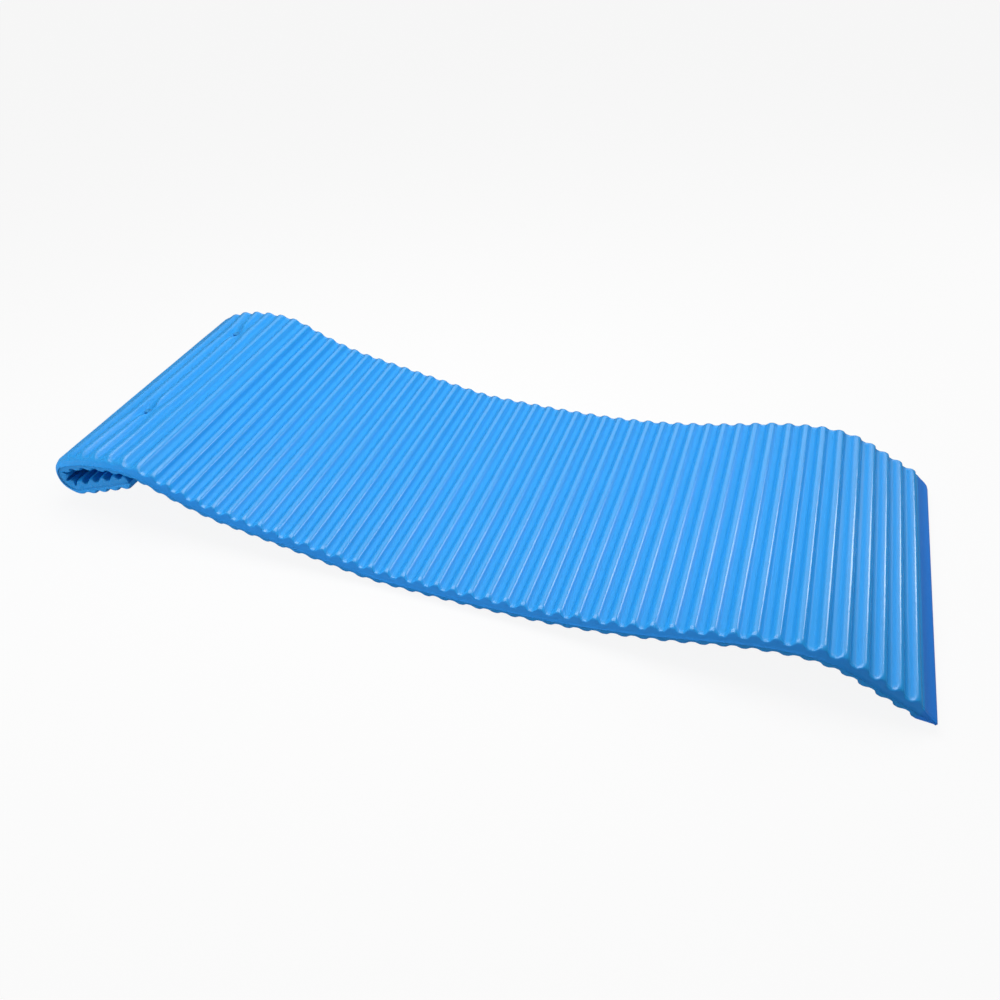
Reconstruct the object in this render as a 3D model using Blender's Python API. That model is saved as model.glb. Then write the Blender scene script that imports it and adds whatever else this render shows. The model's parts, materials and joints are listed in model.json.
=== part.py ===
"""Foam pool float: a ribbed foam mat with its head end tucked under as a pillow.

The mat is a corrugated sheet of closed-cell foam between an upper and a lower
vinyl skin. The skins meet in a seam at half height, all round the edge. Two
ties, each a button on a shank with a washer below, pin the tucked end to the
mat above it.

+X runs from the head to the foot, +Y from the near edge to the far edge and
+Z up. The origin is at the bottom of the bounding box, in its middle.
"""

import math

import bmesh
import bpy
from mathutils import Matrix, Vector

# Ribbed sheet, in metres
MAT_WIDTH = 0.660
RIB_PITCH = 0.035
CREST_WIDTH = 0.014
SHEET_THICKNESS = 0.027
RIB_RISE = 0.011
TOP_RIBS = 50
TUCKED_RIBS = 7

# Edge: the sides lean in from the seam, in degrees from upright
EDGE_LEAN = 30.0
HEAD_NOSE = 0.006

# Skins, and the gap that parts touching each other keep
SKIN_THICKNESS = 0.0009
FIT_GAP = 0.00035

# Flat lip at the foot, tapering to a thin edge
LIP_LENGTH = 0.031
LIP_EDGE = 0.006
LIP_NOSE = 0.002
LIP_CORNER_NEAR = 0.003
LIP_CORNER_FAR = 0.018

# Tucked end: radius left open inside the fold, how far the ribs of the two
# layers press flat where they meet, and the gap that stays between them
FOLD_BORE = 0.011
RIB_CRUSH = 0.006
LAYER_GAP = 0.001

# Steepest that the tucked layer may climb back, in degrees
TUCK_LIMIT = 75.0

# Share of its height that a rib loses where the fold stretches it
FOLD_STRETCH = 0.7

# Depth to which the floor flattens the lowest ribs
FLOOR_PRESS = 0.0005

# Ties: third rib from the fold, measured in from each edge
TIE_RIB = 3
TIE_INSET_NEAR = 0.195
TIE_INSET_FAR = 0.110
TIE_HEAD_RADIUS = 0.008
TIE_HEAD_HEIGHT = 0.003
TIE_SHANK_RADIUS = 0.0025
TIE_PRESS = 0.002
TIE_POCKET_CLEARANCE = 0.001
TIE_SHANK_CLEARANCE = 0.0005

# Lie of the mat along its middle: rib number from the fold, and the slope
# there in degrees, positive where the mat climbs towards the foot
LIE = (
    (0.0, 25.0),
    (2.5, 9.0),
    (4.5, -2.0),
    (6.5, -24.0),
    (9.0, -18.5),
    (12.0, -9.0),
    (19.5, -9.0),
    (22.0, 0.0),
    (25.0, 0.5),
    (30.0, 4.0),
    (35.5, 11.5),
    (39.5, 15.5),
    (43.5, 3.5),
    (46.5, -25.5),
)

# Finishes: colour, roughness, metallic
SKIN_FINISH = ((0.045, 0.29, 0.86, 1.0), 0.32, 0.0)
FOAM_FINISH = ((0.24, 0.52, 0.88, 1.0), 0.85, 0.0)
TIE_FINISH = ((0.05, 0.25, 0.66, 1.0), 0.38, 0.0)

# Resolution
SPINE_STEPS_PER_RIB = 24
CYLINDER_SIDES = 24
CORNER_STEPS = 3
HALVINGS = 40
SHARP_ANGLE = 30.0

# Derived sizes
CREST_HEIGHT = (SHEET_THICKNESS + RIB_RISE) / 2
GROOVE_HEIGHT = (SHEET_THICKNESS - RIB_RISE) / 2
FOLD_RADIUS = FOLD_BORE + CREST_HEIGHT
LEAN_SLOPE = math.tan(math.radians(EDGE_LEAN))
LEAN_COSINE = math.cos(math.radians(EDGE_LEAN))
HEAD_END = -TUCKED_RIBS * RIB_PITCH
LIP_START = TOP_RIBS * RIB_PITCH
LIP_END = LIP_START + LIP_LENGTH
CORE_INSET = SKIN_THICKNESS + FIT_GAP


def slope_on_top(distance):
    """Slope of the mat in radians, at a distance from the fold."""
    rib = distance / RIB_PITCH
    if rib >= LIE[-1][0]:
        return math.radians(LIE[-1][1])
    for (rib_a, slope_a), (rib_b, slope_b) in zip(LIE, LIE[1:]):
        if rib < rib_b:
            share = (rib - rib_a) / (rib_b - rib_a)
            return math.radians(slope_a + share * (slope_b - slope_a))
    return math.radians(LIE[0][1])


class Spine:
    """The line at half the sheet's thickness, in the XZ plane.

    Distances along it are measured from the top of the fold: positive
    towards the foot, negative round the fold and into the tucked layer.
    """

    def __init__(self, tuck_slope):
        self.fold_length = (math.pi + tuck_slope - slope_on_top(0.0)) * FOLD_RADIUS
        self.step = RIB_PITCH / SPINE_STEPS_PER_RIB
        self.first = math.floor((HEAD_END - RIB_PITCH) / self.step)
        last = math.ceil((LIP_END + RIB_PITCH) / self.step)
        behind = self.walk(-1, self.first)
        ahead = self.walk(1, last)
        self.points = behind[:0:-1] + ahead

    def slope(self, distance):
        """Direction of the spine towards the foot, in radians."""
        if distance >= 0.0:
            return slope_on_top(distance)
        turned = min(-distance, self.fold_length)
        return slope_on_top(0.0) + turned / FOLD_RADIUS

    def walk(self, sense, end):
        """Points at equal steps from distance zero, up to step number end."""
        place = Vector((0.0, 0.0, 0.0))
        points = [place.copy()]
        for index in range(abs(end)):
            middle = sense * (index + 0.5) * self.step
            angle = self.slope(middle)
            place += Vector((math.cos(angle), 0.0, math.sin(angle))) * sense * self.step
            points.append(place.copy())
        return points

    def point(self, distance):
        """Place on the spine."""
        index = distance / self.step - self.first
        low = max(0, min(int(index), len(self.points) - 2))
        return self.points[low].lerp(self.points[low + 1], index - low)

    def normal(self, distance):
        """Unit vector towards the mat's upper skin."""
        angle = self.slope(distance)
        return Vector((-math.sin(angle), 0.0, math.cos(angle)))

    def tangent(self, distance):
        """Unit vector towards the foot."""
        angle = self.slope(distance)
        return Vector((math.cos(angle), 0.0, math.sin(angle)))

    def upper_layer(self):
        """Points of the spine from the fold to past the tucked end."""
        start = -self.first
        return self.points[start:3 * start]

    def tucked_ends(self):
        """First and last point of the straight stretch of the tucked layer."""
        return self.point(-self.fold_length), self.point(HEAD_END)


def distance_to_segment(place, start, end):
    """Shortest distance from a point to a straight stretch."""
    run = end - start
    share = max(0.0, min(1.0, (place - start).dot(run) / run.length_squared))
    return (place - start - run * share).length


def distance_to_points(place, points):
    """Shortest distance from a point to a row of points."""
    return min((place - other).length for other in points)


def tucked_spine():
    """Spine whose tucked end just reaches the layer above it."""
    wanted = 2 * (CREST_HEIGHT - RIB_CRUSH) + LAYER_GAP
    low = 0.0
    high = math.radians(TUCK_LIMIT)
    for _ in range(HALVINGS):
        middle = (low + high) / 2
        spine = Spine(middle)
        if distance_to_points(spine.point(HEAD_END), spine.upper_layer()) > wanted:
            low = middle
        else:
            high = middle
    return Spine(low)


class Sheet:
    """Heights of the two ribbed faces over the spine, and their stations."""

    def __init__(self):
        self.spine = tucked_spine()
        self.shift = Vector((0.0, 0.0, 0.0))
        self.upper = self.upper_stations()
        self.lower = self.lower_stations()
        self.shift = self.frame_shift()

    def bend(self, distance):
        """How fully the fold stretches the mat here, from 0 to 1."""
        outside = max(distance, -self.spine.fold_length - distance, 0.0)
        return max(0.0, 1.0 - outside / RIB_PITCH)

    def upper_height(self, distance, is_crest):
        """Height of the upper face, flatter where the fold stretches it."""
        rise = RIB_RISE / 2 * (1.0 - FOLD_STRETCH * self.bend(distance))
        return SHEET_THICKNESS / 2 + (rise if is_crest else -rise)

    def lower_height(self, distance, is_crest):
        """Depth of the lower face, pressed flat where the layers meet."""
        height = CREST_HEIGHT if is_crest else GROOVE_HEIGHT
        place = self.spine.point(distance)
        if distance >= 0.0:
            reach = distance_to_segment(place, *self.spine.tucked_ends())
        elif distance <= -self.spine.fold_length:
            reach = distance_to_points(place, self.spine.upper_layer())
        else:
            return height
        return min(height, (reach - LAYER_GAP) / 2)

    def upper_stations(self):
        """Distance and height of each line of the upper face."""
        stations = [(HEAD_END, self.upper_height(HEAD_END, False))]
        for rib in range(-TUCKED_RIBS, TOP_RIBS):
            groove = rib * RIB_PITCH
            middle = groove + RIB_PITCH / 2
            for distance in (middle - CREST_WIDTH / 2, middle + CREST_WIDTH / 2):
                stations.append((distance, self.upper_height(distance, True)))
            distance = groove + RIB_PITCH
            stations.append((distance, self.upper_height(distance, False)))
        return stations + self.lip_stations(LIP_START, GROOVE_HEIGHT)

    def lower_stations(self):
        """Distance and depth of each line of the lower face."""
        stations = [(HEAD_END, self.lower_height(HEAD_END, True))]
        for rib in range(-TUCKED_RIBS, TOP_RIBS):
            crest = rib * RIB_PITCH
            start = crest + CREST_WIDTH / 2
            end = crest + RIB_PITCH - CREST_WIDTH / 2
            stations.append((start, self.lower_height(start, True)))
            middle = crest + RIB_PITCH / 2
            stations.append((middle, self.lower_height(middle, False)))
            stations.append((end, self.lower_height(end, True)))
        return stations + self.lip_stations(LIP_START + CREST_WIDTH / 2, CREST_HEIGHT)

    def lip_stations(self, start, height):
        """Stations of the lip, which tapers from a height to its thin edge."""
        first = LIP_START + CREST_WIDTH / 2
        stations = []
        for distance in [first] + [LIP_END - back for back, _ in lip_corner(LIP_CORNER_FAR)]:
            share = (distance - start) / (LIP_END - start)
            stations.append((distance, height + share * (LIP_EDGE / 2 - height)))
        return stations

    def place(self, distance, across, height, inset):
        """Point of the mat; the floor holds up what would go below it."""
        spine = self.spine
        point = spine.point(distance) + spine.normal(distance) * height + self.shift
        return Vector((point.x, across, max(point.z, inset)))

    def frame_shift(self):
        """Move that brings the origin to the middle of the box's bottom."""
        places = []
        for stations, side in ((self.upper, 1), (self.lower, -1)):
            for distance, height in stations:
                normal = self.spine.normal(distance)
                places.append(self.spine.point(distance) + normal * height * side)
        places.append(self.spine.point(LIP_END + LIP_NOSE))
        low = min(place.x for place in places)
        high = max(place.x for place in places)
        floor = min(place.z for place in places) + FLOOR_PRESS
        return Vector((-(low + high) / 2, 0.0, -floor))

    def rows(self, side, inset, seam_height):
        """Grid of points of one face: its border is the seam, four to a row.

        side is 1 for the upper face and -1 for the lower one. inset moves the
        whole face inwards. seam_height is how far the border stays from the
        spine.
        """
        stations = self.upper if side > 0 else self.lower
        seam = [(a[0] + b[0]) / 2 for a, b in zip(self.upper, self.lower)]
        seam[-1] = LIP_END
        flat_inset = inset / LEAN_COSINE
        edge = MAT_WIDTH / 2 - flat_inset
        level = side * seam_height
        rows = []
        for index, (distance, height) in enumerate(stations):
            top = height - inset
            near, far = (cut * LEAN_COSINE for cut in self.corner_cuts(distance))
            if index == 0:
                distance += flat_inset
            if index == len(stations) - 1:
                distance -= flat_inset
            wall = LEAN_SLOPE * top
            seam_at = seam[index]
            rows.append((
                self.place(seam_at, -edge + near, level, inset),
                self.place(distance, -edge + wall + near, side * top, inset),
                self.place(distance, edge - wall - far, side * top, inset),
                self.place(seam_at, edge - far, level, inset),
            ))
        head = self.end_row(rows[0], HEAD_END - HEAD_NOSE + flat_inset, level, inset)
        foot = self.end_row(rows[-1], LIP_END + LIP_NOSE - flat_inset, level, inset)
        return [head] + rows + [foot]

    def end_row(self, row, distance, level, inset):
        """Seam across one end of the mat, the same for both faces."""
        near = row[0].y
        far = row[-1].y
        acrosses = (near, near + HEAD_NOSE, far - HEAD_NOSE, far)
        return tuple(self.place(distance, across, level, inset) for across in acrosses)

    def corner_cuts(self, distance):
        """How far the lip's rounded corners cut in from each edge."""
        cuts = []
        for radius in (LIP_CORNER_NEAR, LIP_CORNER_FAR):
            past = max(0.0, distance - (LIP_END - radius))
            cuts.append(radius - math.sqrt(max(0.0, radius ** 2 - past ** 2)))
        return cuts


def lip_corner(radius):
    """Steps round a corner: distance back from the end, and cut from the side."""
    steps = []
    for index in range(CORNER_STEPS + 1):
        angle = math.pi / 2 * index / CORNER_STEPS
        steps.append((radius * (1.0 - math.sin(angle)), radius * (1.0 - math.cos(angle))))
    return steps


def add_grid(mesh, rows):
    """Add a grid of points to a mesh; triangles fan out from its corners."""
    grid = [[mesh.verts.new(point) for point in row] for row in rows]
    for number, (row_a, row_b) in enumerate(zip(grid, grid[1:])):
        in_last_row = number == len(grid) - 2
        for index in range(len(row_a) - 1):
            a, b, c, d = row_a[index], row_a[index + 1], row_b[index + 1], row_b[index]
            if (index == 0) != in_last_row:
                triangles = ((a, b, c), (a, c, d))
            else:
                triangles = ((a, b, d), (b, c, d))
            for triangle in triangles:
                mesh.faces.new(triangle)
    return grid


def border(grid):
    """Vertices round the border of a grid, in order."""
    middle = grid[1:-1]
    far_side = [row[-1] for row in middle]
    near_side = [row[0] for row in reversed(middle)]
    return grid[0] + far_side + grid[-1][::-1] + near_side


def finish(mesh, name, finish_values, collection):
    """Close a mesh, turn its faces outwards and make it an object."""
    bmesh.ops.remove_doubles(mesh, verts=mesh.verts, dist=0.00001)
    bmesh.ops.recalc_face_normals(mesh, faces=mesh.faces)
    data = bpy.data.meshes.new(name)
    mesh.to_mesh(data)
    mesh.free()
    item = bpy.data.objects.new(name, data)
    item.data.materials.append(make_material(name, finish_values))
    collection.objects.link(item)
    return item


def make_material(name, values):
    """Principled material from a colour, a roughness and a metallic value."""
    colour, roughness, metallic = values
    material = bpy.data.materials.new(name)
    material.use_nodes = True
    shader = material.node_tree.nodes["Principled BSDF"]
    shader.inputs["Base Color"].default_value = colour
    shader.inputs["Roughness"].default_value = roughness
    shader.inputs["Metallic"].default_value = metallic
    return material


def make_core(sheet, collection):
    """Foam core: both ribbed faces, joined along the seam."""
    mesh = bmesh.new()
    add_grid(mesh, sheet.rows(1, CORE_INSET, 0.0))
    add_grid(mesh, sheet.rows(-1, CORE_INSET, 0.0))
    return finish(mesh, "foam_core", FOAM_FINISH, collection)


def make_skin(sheet, name, side, collection):
    """Vinyl skin over one face, with a rim along the seam."""
    mesh = bmesh.new()
    outer = border(add_grid(mesh, sheet.rows(side, 0.0, FIT_GAP / 2)))
    inner = border(add_grid(mesh, sheet.rows(side, SKIN_THICKNESS, FIT_GAP / 2)))
    for index in range(len(outer)):
        after = (index + 1) % len(outer)
        mesh.faces.new((outer[index], outer[after], inner[after], inner[index]))
    return finish(mesh, name, SKIN_FINISH, collection)


def cylinder(name, radius, low, high, frame, collection):
    """Upright cylinder from low to high along a frame's own Z axis.

    It is turned by half a side, so that no corner lies on a groove's line.
    """
    bpy.ops.mesh.primitive_cylinder_add(
        vertices=CYLINDER_SIDES, radius=radius, depth=high - low)
    item = bpy.context.object
    item.name = name
    item.data.transform(Matrix.Rotation(math.pi / CYLINDER_SIDES, 4, "Z"))
    item.data.transform(Matrix.Translation((0.0, 0.0, (low + high) / 2)))
    item.matrix_world = frame
    move_to(item, collection)
    return item


def move_to(item, collection):
    """Take an object out of its collections and put it in one."""
    for old in list(item.users_collection):
        old.objects.unlink(item)
    collection.objects.link(item)


def cut(item, cutter):
    """Cut an object by a cutter, which stays hidden."""
    modifier = item.modifiers.new("cut_" + cutter.name, "BOOLEAN")
    modifier.operation = "DIFFERENCE"
    modifier.solver = "EXACT"
    modifier.object = cutter
    cutter.hide_render = True
    cutter.display_type = "WIRE"


def join(item, other):
    """Join another object into this one and remove the other."""
    modifier = item.modifiers.new("join", "BOOLEAN")
    modifier.operation = "UNION"
    modifier.solver = "EXACT"
    modifier.object = other
    joined = item.evaluated_get(bpy.context.evaluated_depsgraph_get())
    data = bpy.data.meshes.new_from_object(joined)
    item.modifiers.remove(modifier)
    item.data = data
    bpy.data.objects.remove(other)


def dress_round(item, name):
    """Shade a round piece smooth between its edges, in the ties' finish."""
    item.data.shade_smooth()
    item.data.set_sharp_from_angle(angle=math.radians(SHARP_ANGLE))
    item.data.materials.append(make_material(name, TIE_FINISH))


class Tie:
    """Button, shank and washer that pin the tucked layer to the one above.

    Its own Z axis is square to the mat above, with zero on the spine there.
    """

    def __init__(self, sheet, side_name, across):
        self.side_name = side_name
        distance = (TIE_RIB - 0.5) * RIB_PITCH
        spine = sheet.spine
        up = spine.normal(distance)
        along = spine.tangent(distance)
        place = spine.point(distance)
        self.seat = GROOVE_HEIGHT - TIE_PRESS
        self.lower_seat = -(self.drop_to_tucked_layer(spine, place, up) + self.seat)
        turn = Matrix((along, up.cross(along), up)).transposed().to_4x4()
        move = place + sheet.shift
        self.frame = Matrix.Translation((move.x, across, move.z)) @ turn

    def drop_to_tucked_layer(self, spine, place, up):
        """Distance from the spine above to the spine of the tucked layer."""
        start, end = spine.tucked_ends()
        run = (end - start).normalized()
        level = Vector((-run.z, 0.0, run.x))
        return (place - start).dot(level) / up.dot(level)

    def make_button(self, collection):
        """Round head pressed into a rib, with its shank."""
        name = "tie_button_" + self.side_name
        gap = FIT_GAP
        low = self.seat + gap
        head = cylinder(name, TIE_HEAD_RADIUS, low, low + TIE_HEAD_HEIGHT, self.frame, collection)
        bottom = self.lower_seat - gap - TIE_HEAD_HEIGHT
        middle = low + TIE_HEAD_HEIGHT / 2
        shank = cylinder("shank", TIE_SHANK_RADIUS, bottom, middle, self.frame, collection)
        join(head, shank)
        dress_round(head, name)
        return head

    def make_washer(self, collection, cutters):
        """Round washer on the shank's end, below the tucked layer."""
        name = "tie_washer_" + self.side_name
        high = self.lower_seat - FIT_GAP
        washer = cylinder(
            name, TIE_HEAD_RADIUS, high - TIE_HEAD_HEIGHT, high, self.frame, collection)
        bore = cylinder(
            name + "_bore", TIE_SHANK_RADIUS + FIT_GAP, high - 2 * TIE_HEAD_HEIGHT,
            high + TIE_HEAD_HEIGHT, self.frame, cutters)
        cut(washer, bore)
        dress_round(washer, name)
        return washer

    def cut_mat(self, core, upper, lower, cutters):
        """Pockets for the head and the washer, and the hole between them."""
        radius = TIE_HEAD_RADIUS + TIE_POCKET_CLEARANCE
        reach = 2 * CREST_HEIGHT
        name = self.side_name
        pockets = (
            cylinder("pocket_top_" + name, radius, self.seat, reach, self.frame, cutters),
            cylinder("pocket_bottom_" + name, radius, self.lower_seat - reach,
                     self.lower_seat, self.frame, cutters),
        )
        hole = cylinder(
            "shank_hole_" + name, TIE_SHANK_RADIUS + TIE_SHANK_CLEARANCE,
            self.lower_seat - TIE_PRESS, self.seat + TIE_PRESS, self.frame, cutters)
        for pocket in pockets:
            cut(upper, pocket)
            cut(core, pocket)
        cut(lower, hole)
        cut(core, hole)


def new_collection(name):
    """Collection in the scene, under a name."""
    collection = bpy.data.collections.new(name)
    bpy.context.scene.collection.children.link(collection)
    return collection


def main():
    """Build the float."""
    for item in list(bpy.data.objects):
        bpy.data.objects.remove(item)
    parts = new_collection("foam_pool_float")
    cutters = new_collection("cutters")
    sheet = Sheet()
    core = make_core(sheet, parts)
    upper = make_skin(sheet, "upper_skin", 1, parts)
    lower = make_skin(sheet, "lower_skin", -1, parts)
    near = -MAT_WIDTH / 2 + TIE_INSET_NEAR
    far = MAT_WIDTH / 2 - TIE_INSET_FAR
    for side_name, across in (("near", near), ("far", far)):
        tie = Tie(sheet, side_name, across)
        tie.make_button(parts)
        tie.make_washer(parts, cutters)
        tie.cut_mat(core, upper, lower, cutters)


main()
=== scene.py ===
"""Foam pool float, dressed: vinyl skins with soft ribs, foam core, ties, and a plain studio.

The mat is a corrugated foam sheet between two vinyl skins, which are welded together in a seam
at half height. Its head end is tucked under as a pillow and pinned by two ties. Distances along
the mat are measured from the top of the fold: positive towards the foot, negative round the fold
and into the tucked layer. Everything is in metres, +X from head to foot, +Y away from the camera
and +Z up.
"""

import json
import logging
import math
import sys
from dataclasses import dataclass, field
from enum import Enum
from typing import Sequence, Union

import bmesh
import bpy
import numpy as np
from mathutils import Matrix, Vector

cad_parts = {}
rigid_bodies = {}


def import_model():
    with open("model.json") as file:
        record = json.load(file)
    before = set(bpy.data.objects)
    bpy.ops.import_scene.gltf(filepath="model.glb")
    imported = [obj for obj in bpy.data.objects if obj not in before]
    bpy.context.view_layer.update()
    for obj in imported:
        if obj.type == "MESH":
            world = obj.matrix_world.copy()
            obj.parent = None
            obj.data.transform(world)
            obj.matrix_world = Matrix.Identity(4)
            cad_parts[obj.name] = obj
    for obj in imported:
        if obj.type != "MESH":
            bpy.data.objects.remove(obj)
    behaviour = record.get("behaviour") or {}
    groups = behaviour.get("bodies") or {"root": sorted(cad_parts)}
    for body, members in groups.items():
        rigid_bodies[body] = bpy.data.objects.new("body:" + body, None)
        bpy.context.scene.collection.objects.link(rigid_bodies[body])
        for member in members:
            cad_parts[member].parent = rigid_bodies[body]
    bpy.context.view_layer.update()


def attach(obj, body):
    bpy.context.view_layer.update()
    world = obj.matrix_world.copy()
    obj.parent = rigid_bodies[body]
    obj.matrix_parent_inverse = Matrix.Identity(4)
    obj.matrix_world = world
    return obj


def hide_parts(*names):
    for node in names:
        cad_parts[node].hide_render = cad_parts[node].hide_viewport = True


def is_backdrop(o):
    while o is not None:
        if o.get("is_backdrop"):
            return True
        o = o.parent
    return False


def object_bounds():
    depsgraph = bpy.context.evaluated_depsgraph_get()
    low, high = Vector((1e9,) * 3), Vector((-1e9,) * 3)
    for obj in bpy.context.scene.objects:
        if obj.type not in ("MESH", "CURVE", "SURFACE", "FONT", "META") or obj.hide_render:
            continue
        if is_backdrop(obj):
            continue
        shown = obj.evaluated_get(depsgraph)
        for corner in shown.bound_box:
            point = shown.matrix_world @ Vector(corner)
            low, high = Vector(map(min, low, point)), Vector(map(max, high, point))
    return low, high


log = logging.getLogger("pool_float")

ROOT_BODY = "root"

Colour = tuple[float, float, float, float]
Point = tuple[float, float, float]


class Face(Enum):
    """Face of the sheet, as its sense along the sheet's normal."""

    UPPER = 1.0
    LOWER = -1.0


class Edge(Enum):
    """Long edge of the mat, as its sense along Y."""

    NEAR = -1.0
    FAR = 1.0


@dataclass(frozen=True)
class SheetSizes:
    """Sizes of the ribbed sheet, the same as the construction model's."""

    width: float = 0.660
    pitch: float = 0.035
    crest: float = 0.014
    thickness: float = 0.027
    rise: float = 0.011
    top_ribs: int = 50
    tucked_ribs: int = 7
    head_nose: float = 0.006
    lip_length: float = 0.031
    lip_edge: float = 0.006
    lip_nose: float = 0.002
    lip_corner_near: float = 0.003
    lip_corner_far: float = 0.018
    fold_bore: float = 0.011
    rib_crush: float = 0.006
    layer_gap: float = 0.001
    tuck_limit: float = math.radians(75.0)
    fold_stretch: float = 0.7

    @property
    def crest_height(self) -> float:
        """Height of a crest over the middle of the sheet."""
        return (self.thickness + self.rise) / 2

    @property
    def groove_height(self) -> float:
        """Height of a groove over the middle of the sheet."""
        return (self.thickness - self.rise) / 2

    @property
    def fold_radius(self) -> float:
        """Radius of the middle of the sheet round the fold."""
        return self.fold_bore + self.crest_height

    @property
    def head_end(self) -> float:
        """Distance of the tucked end."""
        return -self.tucked_ribs * self.pitch

    @property
    def lip_start(self) -> float:
        """Distance where the ribs end and the lip begins."""
        return self.top_ribs * self.pitch

    @property
    def lip_end(self) -> float:
        """Distance of the lip's thin edge."""
        return self.lip_start + self.lip_length


@dataclass(frozen=True)
class MouldSizes:
    """Softness of the moulded ribs and of the mat's edge.

    The ribs step smoothly between grooves and crests that are flat over those widths. The side
    walls lean in from the seam, each layer by its own lean, and meet the top in a rim, towards
    which the ribs sink over rib_end. A size with _head in its name holds at the upper skin's near
    edge round the fold and fades out from head_start to head_stop. A thin flange is left where the
    skins are welded. Wander and ripple make the ribs uneven in place and height, and near rib
    bow_middle they bow towards the foot. The tucked layer begins from tuck_start to tuck_stop, in
    ribs, and is pressed no thinner than least_room.
    """

    crest: float = 0.0050
    groove: float = 0.0060
    rise: float = 0.0090
    lean_upper: float = math.radians(22.0)
    lean_lower: float = math.radians(15.0)
    lean_tucked: float = math.radians(14.0)
    lean_head: float = math.radians(8.0)
    head_start: float = 0.12
    head_stop: float = 0.28
    rib_end: float = 0.007
    rib_end_head: float = 0.013
    rib_end_depth: float = 0.22
    rib_end_depth_head: float = 0.80
    fold_squeeze: float = 0.013
    skin: float = 0.0009
    skin_gap: float = 0.00035
    core_inset: float = 0.0017
    rim_radius: float = 0.0032
    rim_radius_head: float = 0.0055
    flange_width: float = 0.0014
    flange_height: float = 0.0008
    polished_edge: float = 0.012
    wander: float = 0.0011
    wander_along: float = 9.0
    wander_across: float = 2.6
    ripple: float = 0.0007
    ripple_scale: float = 14.0
    ripple_detail: float = 2.0
    bow: float = 0.011
    bow_middle: float = 2.4
    bow_reach: float = 3.6
    tuck_start: float = -0.5
    tuck_stop: float = -2.0
    least_room: float = 0.002
    press_blend: float = 0.002


@dataclass(frozen=True)
class TieSizes:
    """Sizes and places of the two ties."""

    rib: float = 2.5
    inset_near: float = 0.195
    inset_far: float = 0.110
    head_radius: float = 0.008
    head_height: float = 0.003
    shank_radius: float = 0.0025
    press: float = 0.002
    gap: float = 0.00035
    dimple_along: float = 0.019
    dimple_across: float = 0.046
    dimple_floor: float = 0.22
    pinch_pull: float = 0.42
    pinch_along: float = 0.034
    pinch_across: float = 0.050


LIE: tuple[tuple[float, float], ...] = (
    (0.0, 25.0), (2.5, 9.0), (4.5, -2.0), (6.5, -24.0), (9.0, -18.5), (12.0, -9.0), (19.5, -9.0),
    (22.0, 0.0), (25.0, 0.5), (30.0, 4.0), (35.5, 11.5), (39.5, 15.5), (43.5, 3.5), (46.5, -25.5),
)


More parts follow.
